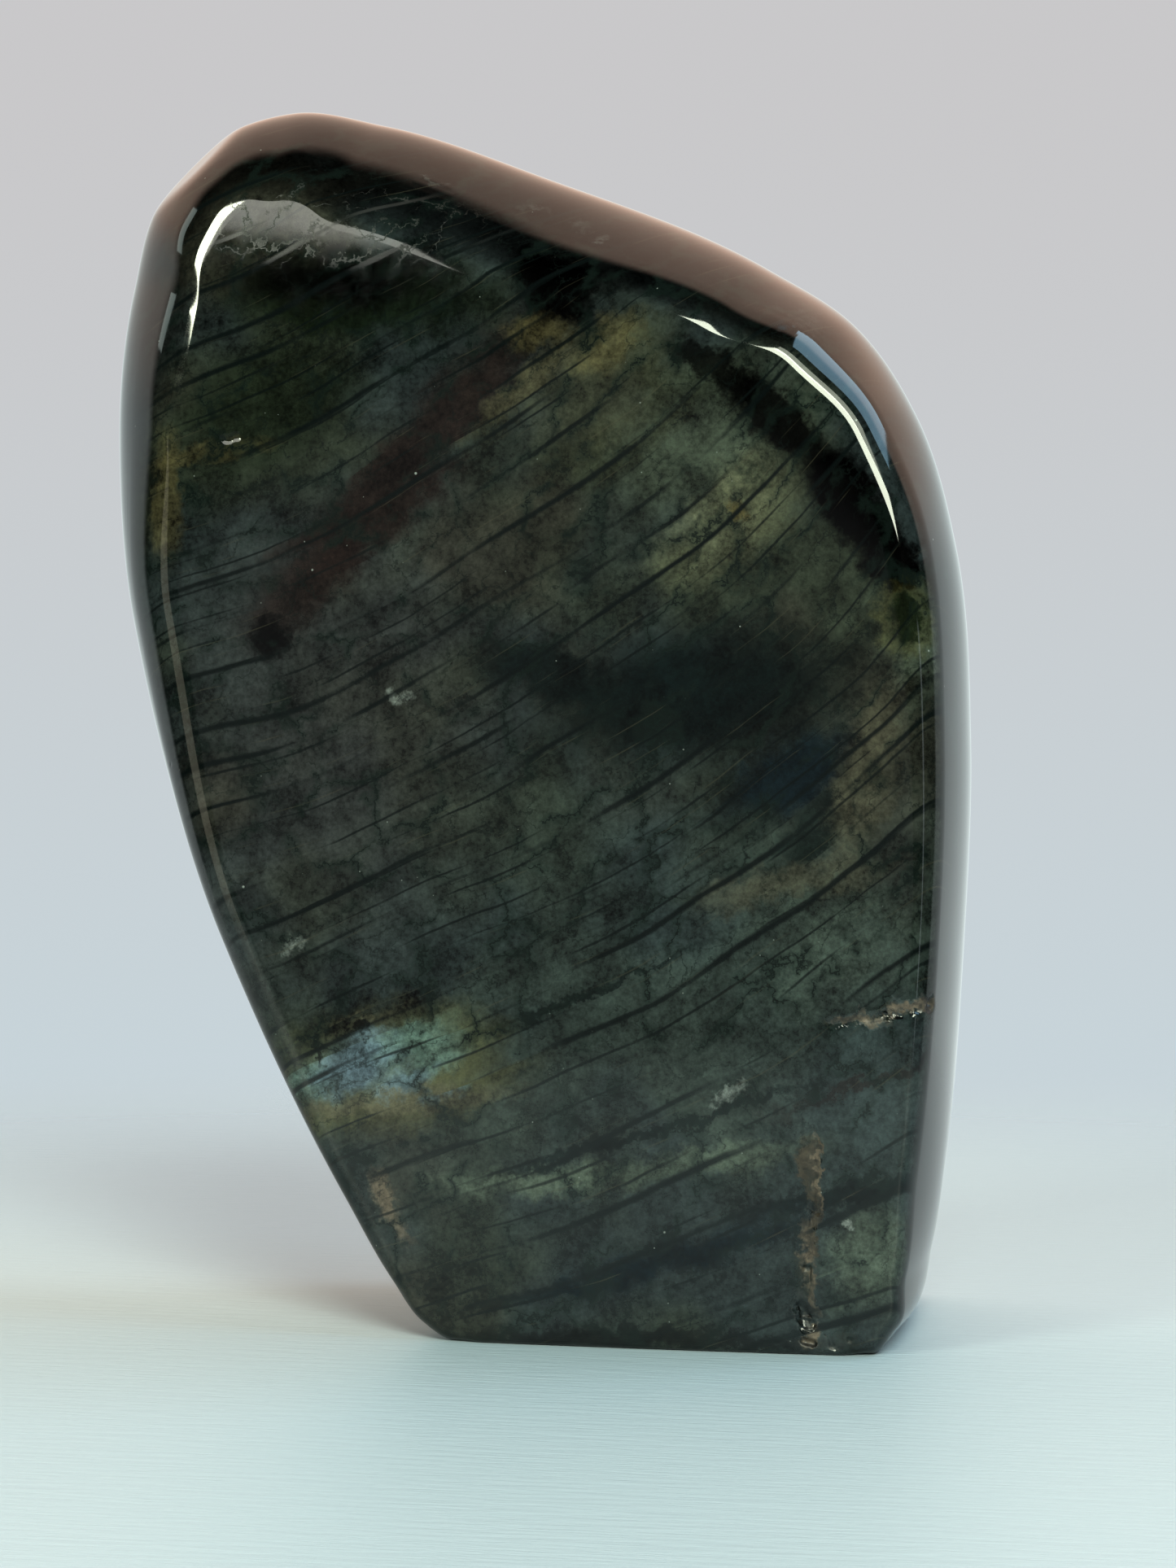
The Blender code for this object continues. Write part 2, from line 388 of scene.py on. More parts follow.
def wear(shape):
    """Divides the surface near each loss more finely and sinks it there."""
    for row in LOSSES:
        ends = loss_ends(row)
        half_width, depth = row[5:]
        for _ in range(LOSS_DIVISIONS):
            divide(shape, ends, half_width + LOSS_REACHES)
        shape.normal_update()
        moves = []
        for vertex in shape.verts:
            reach = distance_to(vertex.co, ends) / half_width
            if reach < WIDEST_RIM:
                rough = mathutils.noise.noise(vertex.co * ROUGH_BOTTOM_SCALE)
                edge = reach + RIM_WANDERS * mathutils.noise.noise(vertex.co * RIM_SCALE)
                sink = depth * max(0.0, 1.0 - edge * edge) * (1.0 + ROUGH_BOTTOM * rough)
                moves.append((vertex, vertex.normal * sink))
        for vertex, move in moves:
            vertex.co -= move
            vertex.co.z = max(vertex.co.z, 0.0)


# The middle of the stone's width and thickness stands over the origin
MILLIMETRE = 0.001
MIDDLE = [
    (min(point[axis] for point in stone_points) + max(point[axis] for point in stone_points)) / 2
    for axis in (0, 1)
] + [0.0]
mesh = bpy.data.meshes.new("labradorite_stone")
mesh.from_pydata(stone_points, [], stone_faces)
worn = bmesh.new()
worn.from_mesh(mesh)
wear(worn)
worn.transform(Matrix.Scale(MILLIMETRE, 4) @ Matrix.Translation([-value for value in MIDDLE]))
worn.to_mesh(mesh)
worn.free()
mesh.validate()
mesh.shade_smooth()
stone = bpy.data.objects.new("labradorite_stone", mesh)
bpy.context.scene.collection.objects.link(stone)


def feed(tree, socket, value):
    """Links a socket to another socket, or sets it to a plain value."""
    if isinstance(value, bpy.types.NodeSocket):
        tree.links.new(value, socket)
    else:
        socket.default_value = value


def node(tree, kind, values=None, **settings):
    """Adds a node. values names its input sockets, the settings are its own properties."""
    added = tree.nodes.new("ShaderNode" + kind)
    for name, value in settings.items():
        setattr(added, name, value)
    for name, value in (values or {}).items():
        feed(tree, added.inputs[name], value)
    return added


def calc(tree, operation, *values):
    """A sum on numbers."""
    return node(tree, "Math", dict(enumerate(values)), operation=operation).outputs[0]


def vector(tree, operation, *values):
    """A sum on vectors."""
    return node(tree, "VectorMath", dict(enumerate(values)), operation=operation).outputs[0]


def fade(tree, value, start, end, low=0.0, high=1.0):
    """Goes smoothly from low to high as the value goes from start to end."""
    values = {"Value": value, "From Min": start, "From Max": end, "To Min": low, "To Max": high}
    return node(tree, "MapRange", values, interpolation_type="SMOOTHSTEP").outputs[0]


def mix(tree, share, first, second, how="MIX"):
    """Blends two colours. The node's colour sockets are numbers 6 and 7, and 2 is its result."""
    added = node(tree, "Mix", data_type="RGBA", blend_type=how, clamp_factor=True)
    for number, value in ((0, share), (6, first), (7, second)):
        feed(tree, added.inputs[number], value)
    return added.outputs[2]


def noise(tree, place, scale, detail=2.0, roughness=0.5):
    """Noise from 0 to 1 with features one unit wide over the scale."""
    values = {"Vector": place, "Scale": scale, "Detail": detail, "Roughness": roughness}
    return node(tree, "TexNoise", values).outputs[0]


def new_group(name, inputs, outputs):
    """A node group with these sockets. Returns it with its inner input and output sockets."""
    tree = bpy.data.node_groups.new(name, "ShaderNodeTree")
    for title, kind in inputs:
        tree.interface.new_socket(title, in_out="INPUT", socket_type="NodeSocket" + kind)
    for title, kind in outputs:
        tree.interface.new_socket(title, in_out="OUTPUT", socket_type="NodeSocket" + kind)
    entry = tree.nodes.new("NodeGroupInput")
    result = tree.nodes.new("NodeGroupOutput")
    return tree, entry.outputs, result.inputs


def place_group(tree, group, values):
    """Places a node group and returns its outputs."""
    added = tree.nodes.new("ShaderNodeGroup")
    added.node_tree = group
    for name, value in values.items():
        feed(tree, added.inputs[name], value)
    return added.outputs


# The lie of the mineral's sheets, which fan out from gently sloping at the lower left to steep at
# the upper right, run into the stone at a slant and are wavy, with slow and quick waves. Places
# are in millimetres from the same zero as OUTLINE.
SHEETS_START_X = -43.0
SHEET_SLOPE = 0.30
SLOPE_GROWS_UP = 118.0
SLOPE_AT_LEFT = -0.20
SLOPE_BENDS = 0.60 / 80.0
SLOPE_INTO_STONE = 0.40
ALONG_GROWS_UP = 0.35
SLOW_WAVES_PER_MM = 0.035
SLOW_WAVE_HEIGHT = 5.0
QUICK_WAVES_PER_MM = 0.22
QUICK_WAVE_HEIGHT = 0.35


def sheet_group():
    """Place in the stone to place among its sheets: along them, through the stone, across them."""
    tree, given, made = new_group("mineral_sheets", [("Place", "Vector")], [("Sheets", "Vector")])
    slow = noise(tree, given["Place"], SLOW_WAVES_PER_MM, 1.0)
    quick = noise(tree, given["Place"], QUICK_WAVES_PER_MM, 2.0)
    parts = node(tree, "SeparateXYZ", {0: given["Place"]}).outputs
    x = calc(tree, "SUBTRACT", parts[0], SHEETS_START_X)
    z = parts[2]
    bend = calc(tree, "MULTIPLY", x, calc(tree, "MULTIPLY_ADD", x, SLOPE_BENDS, SLOPE_AT_LEFT))
    rise = calc(tree, "MULTIPLY", calc(tree, "DIVIDE", z, SLOPE_GROWS_UP), bend)
    across = calc(tree, "SUBTRACT", z, calc(tree, "MULTIPLY_ADD", x, SHEET_SLOPE, rise))
    across = calc(tree, "MULTIPLY_ADD", parts[1], SLOPE_INTO_STONE, across)
    across = calc(tree, "MULTIPLY_ADD", slow, SLOW_WAVE_HEIGHT, across)
    across = calc(tree, "MULTIPLY_ADD", quick, QUICK_WAVE_HEIGHT, across)
    along = calc(tree, "MULTIPLY_ADD", z, ALONG_GROWS_UP, x)
    joined = node(tree, "CombineXYZ", {0: along, 1: parts[1], 2: across}).outputs[0]
    feed(tree, made["Sheets"], joined)
    return tree


# How a parting wanders from sheet to sheet, how often and how softly it breaks off, and how wide
# it is where it is faint, at its outside and at its dark core, as shares of its width
WANDER_PER_SHEET = 0.35
BREAKS_PER_RUN = 1.6
BREAK_SOFTNESS = 0.16
FAINT_WIDTH = 0.35
OUTSIDE_WIDTH = 1.6
CORE_WIDTH = 0.3


def parting_group():
    """Thin dark partings between the sheets, which thin out and break off along their length."""
    tree, given, made = new_group(
        "parting_lines",
        [
            ("Sheets", "Vector"),
            ("Spacing", "Float"),
            ("Run", "Float"),
            ("Width", "Float"),
            ("Drift", "Float"),
            ("Kept", "Float"),
        ],
        [("Lines", "Float"), ("Tone", "Float")],
    )
    parts = node(tree, "SeparateXYZ", {0: given["Sheets"]}).outputs
    along = calc(tree, "DIVIDE", parts[0], given["Run"])
    depth = calc(tree, "DIVIDE", parts[1], given["Run"])
    level = calc(tree, "DIVIDE", parts[2], given["Spacing"])
    slow_level = calc(tree, "MULTIPLY", level, WANDER_PER_SHEET)
    stretched = node(tree, "CombineXYZ", {0: along, 1: depth, 2: slow_level}).outputs[0]
    wander = noise(tree, stretched, 1.0, 2.0)
    level = calc(tree, "MULTIPLY_ADD", wander, given["Drift"], level)
    edge = node(
        tree, "TexVoronoi", {"W": level, "Scale": 1.0},
        voronoi_dimensions="1D", feature="DISTANCE_TO_EDGE",
    ).outputs["Distance"]
    tone = node(
        tree, "TexVoronoi", {"W": level, "Scale": 1.0}, voronoi_dimensions="1D", feature="F1"
    ).outputs["Color"]
    distance = calc(tree, "MULTIPLY", edge, given["Spacing"])
    fine = node(tree, "CombineXYZ", {0: along, 1: depth, 2: level}).outputs[0]
    breaks = noise(tree, fine, BREAKS_PER_RUN, 2.0, 0.6)
    full = calc(tree, "ADD", given["Kept"], BREAK_SOFTNESS)
    strength = fade(tree, breaks, given["Kept"], full)
    width = calc(tree, "MULTIPLY", given["Width"], calc(tree, "ADD", strength, FAINT_WIDTH))
    outside = calc(tree, "MULTIPLY", width, OUTSIDE_WIDTH)
    core = calc(tree, "MULTIPLY", width, CORE_WIDTH)
    line = fade(tree, distance, outside, core)
    feed(tree, made["Lines"], calc(tree, "MULTIPLY", line, strength))
    feed(tree, made["Tone"], node(tree, "SeparateColor", {0: tone}).outputs[0])
    return tree


def patch_mask(tree, place, centre, half_size, softness, turn=0.0, strength=1.0):
    """Mask of a soft oval patch in the stone, turned in the plane of the front face.

    The node's ball falls from 1 in the middle to 0 at its edge, which is put at the patch's
    outer edge.
    """
    ball = node(tree, "TexGradient", {"Vector": place}, gradient_type="SPHERICAL")
    oval = ball.texture_mapping
    oval.vector_type = "TEXTURE"
    oval.translation = centre
    oval.rotation = (0.0, -math.radians(turn), 0.0)
    oval.scale = [size * (1.0 + softness) for size in half_size]
    full_at = 2.0 * softness / (1.0 + softness)
    return fade(tree, ball.outputs[1], 0.0, full_at, 0.0, strength)


# Least share of its size that a speck has, how much that share varies, and the share of a speck
# that is fully bright
SMALLEST_SPECK = 0.4
SPECK_SIZES_VARY = 0.8
SPECK_CORE = 0.5


def speck_group():
    """Small bright grains, each in its own cell, of which only a share shows."""
    tree, given, made = new_group(
        "mineral_specks",
        [("Place", "Vector"), ("Spacing", "Float"), ("Size", "Float"), ("Share", "Float")],
        [("Specks", "Float")],
    )
    cells = node(
        tree, "TexVoronoi",
        {"Vector": given["Place"], "Scale": calc(tree, "DIVIDE", 1.0, given["Spacing"])},
    ).outputs
    pick = node(tree, "SeparateColor", {0: cells["Color"]}).outputs
    chosen = calc(tree, "LESS_THAN", pick[0], given["Share"])
    share_of_size = calc(tree, "MULTIPLY_ADD", pick[1], SPECK_SIZES_VARY, SMALLEST_SPECK)
    size = calc(tree, "MULTIPLY", given["Size"], share_of_size)
    reach = calc(tree, "MULTIPLY", cells["Distance"], given["Spacing"])
    dot = fade(tree, reach, size, calc(tree, "MULTIPLY", size, SPECK_CORE))
    feed(tree, made["Specks"], calc(tree, "MULTIPLY", dot, chosen))
    return tree


# Colours of the mineral and of what is in it, as the light comes back out of the polished stone
GREY_GREEN = (0.025, 0.031, 0.023, 1.0)
BLUE_GREY = (0.021, 0.028, 0.029, 1.0)
BROWN_GREY = (0.027, 0.028, 0.022, 1.0)
LINE_COLOUR = (0.004, 0.007, 0.007, 1.0)
JOINT_COLOUR = (0.006, 0.010, 0.009, 1.0)
STAIN_COLOUR = (0.009, 0.017, 0.014, 1.0)
# Black and dark green also paint shade in some patches below
COLOURS = {
    "black": (0.001, 0.001, 0.001, 1.0),
    "dark green": (0.005, 0.009, 0.004, 1.0),
    "ink": (0.0015, 0.005, 0.005, 1.0),
    "blue ink": (0.002, 0.007, 0.011, 1.0),
    "red brown": (0.013, 0.008, 0.007, 1.0),
    "olive": (0.060, 0.056, 0.018, 1.0),
    "gold": (0.085, 0.074, 0.036, 1.0),
    "pale": (0.100, 0.105, 0.068, 1.0),
    "flaky": (0.070, 0.066, 0.046, 1.0),
    "grey green": (0.062, 0.078, 0.062, 1.0),
    "blue": (0.090, 0.130, 0.165, 1.0),
    "teal": (0.085, 0.135, 0.125, 1.0),
    "pink": (0.120, 0.095, 0.070, 1.0),
    "silver": (0.260, 0.290, 0.280, 1.0),
    "rust": (0.048, 0.038, 0.026, 1.0),
    "cool grey": (0.029, 0.042, 0.044, 1.0),
    "neutral grey": (0.034, 0.034, 0.034, 1.0),
}

# Patches near the front face: colour, centre x and z, half length and half width, turn in
# degrees, softness of the edge and strength. These lie in the sheets, and end where a sheet does.
# Some rows are painted light: painted shade below the top, and the play of colour painted as a fixed
# colour
SHEET_PATCHES_AND_PAINTED_LIGHT = [
    ("cool grey", 6.0, 33.0, 26.0, 16.0, 15, 0.9, 0.55),  # bluer below, greyer at the left
    ("cool grey", 30.0, 26.0, 10.0, 20.0, 0, 0.9, 0.5),
    ("neutral grey", -17.0, 58.0, 13.0, 18.0, -10, 0.9, 0.6),
    ("grey green", 36.0, 64.3, 2.6, 6.5, 0, 0.5, 0.5),  # clear mineral on the right
    ("grey green", 18.0, 84.0, 9.0, 5.0, 35, 0.6, 0.4),
    ("grey green", 30.0, 37.0, 6.0, 5.0, 30, 0.7, 0.4),
    ("grey green", 3.0, 15.5, 10.0, 1.3, 4, 0.6, 0.9),  # pale bands near the base
    ("grey green", 18.0, 17.8, 8.0, 1.2, 9, 0.6, 0.8),
    ("grey green", 32.0, 9.0, 3.4, 5.0, -15, 0.5, 0.8),
    ("red brown", -10.5, 82.0, 17.0, 3.6, 50, 0.4, 0.9),  # reddish-brown band
    ("red brown", -20.5, 71.0, 6.5, 3.2, 40, 0.5, 0.7),
    # Painted shade: dark green below the top, where the polish shows no reflected light
    ("dark green", -16.7, 98.2, 13.0, 4.0, -2, 0.4, 0.9),  # dark green below the top
    ("dark green", -24.3, 88.0, 8.0, 6.0, 20, 0.6, 0.6),
    ("ink", 12.1, 7.9, 16.1, 0.8, 16, 0.5, 0.9),  # dark bands low down
    ("ink", 29.5, 14.7, 9.9, 0.9, 13, 0.5, 0.9),
    ("ink", 12.1, 20.3, 16.3, 0.5, 17, 0.5, 0.8),
    ("ink", 8.2, 33.2, 12.5, 0.5, 22, 0.5, 0.7),
    ("red brown", 31.9, 25.2, 8.7, 0.5, 20, 0.5, 0.7),
    ("ink", 17.1, 60.5, 13.5, 5.6, 10, 0.5, 0.93),  # dark cloud right of the middle
    ("ink", 3.0, 62.1, 6.5, 2.6, -15, 0.5, 0.85),
    ("blue ink", 25.0, 53.0, 7.0, 3.4, 25, 0.5, 0.9),
    ("ink", 29.0, 48.5, 5.4, 1.8, 60, 0.5, 0.7),
    ("blue ink", 14.0, 8.6, 13.0, 1.6, 17, 0.6, 0.8),
    ("olive", 8.0, 88.0, 7.5, 4.5, 45, 0.6, 0.3),  # olive and gold below the black inclusion
    ("gold", 1.2, 89.5, 6.0, 1.4, 47, 0.6, 0.45),
    ("pale", 19.2, 75.4, 6.2, 3.0, 38, 0.7, 0.6),  # pale yellow cloud
    ("pale", 20.6, 79.3, 4.0, 2.2, 50, 0.7, 0.5),
    ("flaky", 26.1, 43.2, 7.6, 1.5, 12, 0.6, 0.5),  # flaky run below the dark cloud
    # Painted reflection: the play of colour, light the sheets send back at one angle, fixed here as
    # colour
    ("olive", -12.3, 25.7, 12.0, 5.6, 10, 0.35, 0.6),  # play of colour, from its rim inward
    ("flaky", -12.0, 22.3, 9.4, 1.2, 6, 0.5, 0.7),
    ("flaky", -16.3, 29.4, 3.8, 1.0, 20, 0.5, 0.7),
    ("grey green", -13.6, 26.2, 9.6, 3.6, 12, 0.35, 0.9),
    ("teal", -9.4, 28.2, 4.2, 1.7, 19, 0.6, 0.7),
    ("teal", -7.2, 25.7, 3.2, 1.5, 22, 0.6, 0.6),
    ("teal", -19.0, 24.2, 2.4, 1.6, 27, 0.6, 0.7),
    ("blue", -14.0, 27.0, 3.4, 1.9, 10, 0.6, 0.8),
    ("blue", -15.2, 24.6, 3.2, 1.6, 11, 0.6, 0.8),
    ("blue", -9.0, 24.4, 2.6, 1.3, 13, 0.6, 0.7),
]

# Inclusions, which lie across the sheets, and painted shade, marked where it stands
INCLUSIONS_AND_PAINTED_SHADE = [
    ("gold", 8.2, 93.0, 3.6, 2.0, 34, 0.5, 0.5),  # gold round the black inclusion
    ("gold", 2.1, 94.6, 2.9, 1.7, 10, 0.5, 0.7),
    # Painted shade: a dark run below the upper left corner, where the polish shows no reflected light
    ("black", -18.4, 99.6, 9.0, 2.4, -3, 0.5, 0.9),  # dark run below the upper left corner
    ("black", 3.9, 98.3, 4.0, 3.4, 0, 0.35, 1.0),  # black inclusion
    ("black", 0.8, 100.8, 2.4, 1.9, 0, 0.4, 1.0),
    # Painted shade: a black band along the right shoulder, where the face curves off and shows no
    # reflected light
    ("black", 17.5, 91.0, 4.2, 1.5, -32, 0.35, 0.85),  # black band along the right shoulder
    ("black", 23.7, 86.0, 5.6, 2.2, -41, 0.3, 0.95),
    ("black", 30.8, 78.0, 6.5, 2.8, -54, 0.3, 1.0),
    ("black", 34.6, 72.4, 2.8, 2.6, 0, 0.3, 1.0),
    ("black", -24.1, 66.0, 1.8, 2.0, 0, 0.4, 0.9),  # dark end of the reddish-brown band
    ("olive", 35.7, 67.2, 2.8, 3.6, 0, 0.25, 0.4),  # ring on the right
    ("dark green", 35.9, 67.4, 1.8, 2.4, 0, 0.3, 0.9),
    ("gold", 20.4, 77.3, 1.1, 0.9, 0, 0.4, 1.0),  # gold grain in the pale cloud
    ("gold", -34.9, 79.5, 1.6, 5.4, 0, 0.5, 0.6),  # gold on the left bevel
    ("gold", -30.8, 83.6, 5.5, 0.8, 8, 0.6, 0.5),
    ("flaky", 32.4, 53.3, 2.4, 7.6, -14, 0.5, 0.6),  # flaky run down the right
    # Painted shade: a dark line along the foot, where the base's narrow bevel lies in shade
    ("black", 10.9, 0.9, 17.5, 1.0, 1, 0.5, 0.8),  # dark foot
    ("pink", -12.4, 12.8, 3.5, 0.9, -59, 0.5, 0.6),  # flaky skin at the lower left
    ("black", -15.1, 28.9, 1.0, 0.6, 0, 0.4, 0.9),  # dark spots in the play of colour
    ("black", -19.4, 27.2, 0.4, 1.5, 20, 0.4, 0.8),
    ("rust", 27.2, 16.8, 0.8, 2.8, 4, 0.4, 0.85),  # crust of the open crack
    ("rust", 27.6, 11.6, 0.6, 2.6, -4, 0.4, 0.8),
    ("pink", 28.0, 16.8, 0.3, 3.0, 3, 0.5, 0.9),
    ("pink", 27.2, 8.0, 0.5, 3.2, 7, 0.5, 0.9),
    ("pink", 27.4, 2.0, 1.2, 0.6, 30, 0.5, 0.7),
    ("silver", 25.8, 95.3, 2.3, 0.8, -28, 0.4, 0.7),  # pale flake on the right shoulder
    ("silver", -9.2, 109.4, 0.9, 0.35, -20, 0.5, 0.6),  # flakes along the top edge
    ("silver", 0.3, 106.5, 1.2, 0.35, -24, 0.5, 0.6),
    ("silver", 4.6, 104.8, 1.1, 0.45, -24, 0.5, 0.6),
    ("silver", 7.2, 103.7, 0.6, 0.35, -24, 0.5, 0.6),
    ("silver", 19.8, 23.9, 1.4, 0.6, 25, 0.5, 0.5),  # silvery specks in the sheets
    ("silver", -11.4, 60.2, 0.6, 1.0, 20, 0.5, 0.4),
    ("silver", -21.5, 37.0, 1.2, 0.6, 40, 0.5, 0.4),
    ("silver", 30.6, 12.1, 0.6, 0.5, 40, 0.5, 0.7),
    ("pink", 31.6, 30.8, 2.6, 0.5, 9, 0.5, 0.8),  # row of flakes running to the right edge
    ("pink", 37.0, 31.9, 3.0, 0.6, 12, 0.5, 0.8),
]
PATCH_DEPTH = 9.0

# The back, which the photograph doesn't show, has clouds and bands of the same kinds
BACK_PATCHES = [
    ("cool grey", 4.0, 30.0, 24.0, 16.0, 20, 0.9, 0.5),
    ("neutral grey", -14.0, 70.0, 14.0, 18.0, 0, 0.9, 0.5),
    ("ink", -8.0, 48.0, 16.0, 5.0, 25, 0.5, 0.85),
    ("red brown", 14.0, 84.0, 15.0, 3.4, 42, 0.4, 0.8),
    ("dark green", 22.0, 62.0, 9.0, 5.0, 30, 0.6, 0.8),
    ("gold", -20.0, 96.0, 6.0, 2.0, 40, 0.5, 0.6),
    ("grey green", 8.0, 16.0, 14.0, 1.6, 10, 0.6, 0.8),
    # Painted reflection: a play of colour, light the sheets send back at one angle, fixed here as
    # colour
    ("olive", 18.0, 41.0, 12.0, 5.0, 18, 0.5, 0.6),
    ("blue", 19.0, 42.0, 6.5, 2.4, 20, 0.5, 0.9),
    ("teal", 13.0, 39.5, 5.0, 1.6, 20, 0.5, 0.8),
    ("black", -30.0, 84.0, 3.4, 5.0, 10, 0.4, 0.9),
]

# Where the surface is an unpolished crust: centre x and z, half length and half width
CRUSTS = [
    (27.4, 16.8, 0.9, 3.0),
    (27.2, 7.6, 1.1, 5.6),
    (28.5, 1.2, 3.4, 1.0),
    (32.0, 30.8, 3.0, 0.7),
    (37.6, 32.0, 3.0, 0.9),
    (25.8, 95.3, 2.4, 1.1),
]
CRUST_DEPTH = 3.0
CRUST_SOFTNESS = 0.4
CRUST_ROUGHNESS = 0.45

# Where fine cracks break the polish: centre x and z, half length and half width
CRAZED = (-16.0, 106.0, 16.0, 4.5)
CRAZED_SOFTNESS = 0.3

sheets_of_stone = sheet_group()
partings = parting_group()
specks = speck_group()


def add_patches(tree, colour, place, rows, face):
    """Lays patches one over another on the colour, centred on the face."""
    for name, x, z, half_length, half_width, turn, softness, strength in rows:
        centre = (x, face(x, z), z)
        half_size = (half_length, PATCH_DEPTH, half_width)
        patch = patch_mask(tree, place, centre, half_size, softness, turn, strength)
        colour = mix(tree, patch, colour, COLOURS[name])
    return colour


# Painted sheen and shade: full colour where the surface faces one way, dark where it turns off
# It stands in for light the sheets send back, which in the stone changes with the light and the view
PAINTED_SHEEN_DIRECTION = (0.15, -0.85, -0.50)
PAINTED_SHEEN_GONE_AT = 0.38
PAINTED_SHEEN_FULL_AT = 0.70
PAINTED_SHEEN_LEAST = 0.12


def painted_sheen(tree):
    """Painted sheen and shade: share of the colour kept, by the way the surface faces, fixed for any
    view.
    """
    facing = node(
        tree, "VectorMath", {0: node(tree, "TexCoord").outputs["Normal"], 1: PAINTED_SHEEN_DIRECTION},
        operation="DOT_PRODUCT",
    ).outputs["Value"]
    return fade(tree, calc(tree, "ABSOLUTE", facing), PAINTED_SHEEN_GONE_AT, PAINTED_SHEEN_FULL_AT, PAINTED_SHEEN_LEAST)


# Families of partings: offset among the sheets, spacing, run and width in millimetres, drift from
# sheet to sheet, and the noise above which a parting is kept
PARTING_FAMILIES = {
    "main": ((0.0, 0.0, 0.0), 4.4, 36.0, 0.22, 0.50, 0.43),
    "second": ((90.0, 7.0, 31.0), 2.6, 26.0, 0.10, 0.45, 0.46),
    "hair": ((40.0, 3.0, 77.0), 1.5, 14.0, 0.05, 0.50, 0.52),
}

# How far markings fray, and how far along they step from one sheet to the next, in millimetres
FRAYS_PER_MM = 0.40
FRAY = (5.0, 3.0, 5.0)
STEP_OF_MAIN = 2.6
STEP_OF_SECOND = 2.2

# Blocks between cross joints, in blocks to the millimetre, and how much fraying bends the joints
BLOCKS = (0.11, 0.10, 0.17)
BLOCKS_FRAY = 0.15
SMALL_BLOCKS = (0.26, 0.24, 0.36)
SMALL_BLOCKS_FRAY = 0.24

# Widths of joints and of the stain round them, from outside to core, in blocks
JOINT_WIDTHS = (0.026, 0.006)
SMALL_JOINT_WIDTHS = (0.030, 0.008)
STAIN_WIDTHS = (0.13, 0.01)

# Noise that breaks the joints off, between which of its values each kind comes in, and how
# strongly each kind of line covers the colour under it
JOINT_BREAKS_PER_MM = 0.22
JOINTS_COME_IN = (0.44, 0.58)
SMALL_JOINTS_COME_IN = (0.56, 0.42)
STAIN_COMES_IN = (0.42, 0.60)
STAIN_COVERS = 0.60
JOINTS_COVER = 0.80
SMALL_JOINTS_COVER = 0.55
HAIR_COVERS = 0.30
MAIN_COVERS = 0.92
SECOND_COVERS = 0.80

# Clouds of colour, tone and polish: noise of this many waves to the millimetre, which goes from
# low to high between start and end
GREEN_OR_BLUE = {"scale": 0.055, "detail": 2.0, "roughness": 0.55, "start": 0.42, "end": 0.60}
BROWN_SHARE = {"scale": 0.045, "detail": 2.0, "roughness": 0.55, "start": 0.52, "end": 0.64}
BROWN_OFFSET = (50.0, 0.0, 20.0)
MOTTLE = {
    "scale": 0.20, "detail": 5.0, "roughness": 0.68, "start": 0.32, "end": 0.70, "low": -0.52,
    "high": 0.56,
}
GRAIN = {
    "scale": 1.9, "detail": 3.0, "roughness": 0.75, "start": 0.25, "end": 0.75, "low": -0.36,
    "high": 0.36,
}
POLISH = {
    "scale": 0.5, "detail": 3.0, "roughness": 0.5, "start": 0.3, "end": 0.7, "low": 0.03,
    "high": 0.07,
}

# How much the tone varies from sheet to sheet and from block to block, over an even ground
TONE_OF_MAIN = 0.26
TONE_OF_SECOND = 0.18
TONE_OF_BLOCKS = 0.22
GROUND_TONE = 0.68

# Grains of pale mineral: spacing and size in millimetres, share that shows and strength
PALE_GRAINS = ((3.4, 0.18, 0.34, 0.8), (1.4, 0.09, 0.22, 0.5))
REFRACTIVE_INDEX = 1.56


def clouds(tree, place, scale, detail, roughness, start, end, low=0.0, high=1.0):
    """Noise that goes from low to high as it passes from start to end."""
    return fade(tree, noise(tree, place, scale, detail, roughness), start, end, low, high)


def blocks(tree, sheets, scale, fray, fray_share, what):
    """Cells among the sheets, bent by the fray: their colour, or the distance to their edge."""
    bent = vector(tree, "MULTIPLY", fray, (fray_share,) * 3)
    place = vector(tree, "ADD", vector(tree, "MULTIPLY", sheets, scale), bent)
    cells = node(tree, "TexVoronoi", {"Vector": place, "Scale": 1.0}, feature=what)
    return cells.outputs["Color" if what == "F1" else "Distance"]


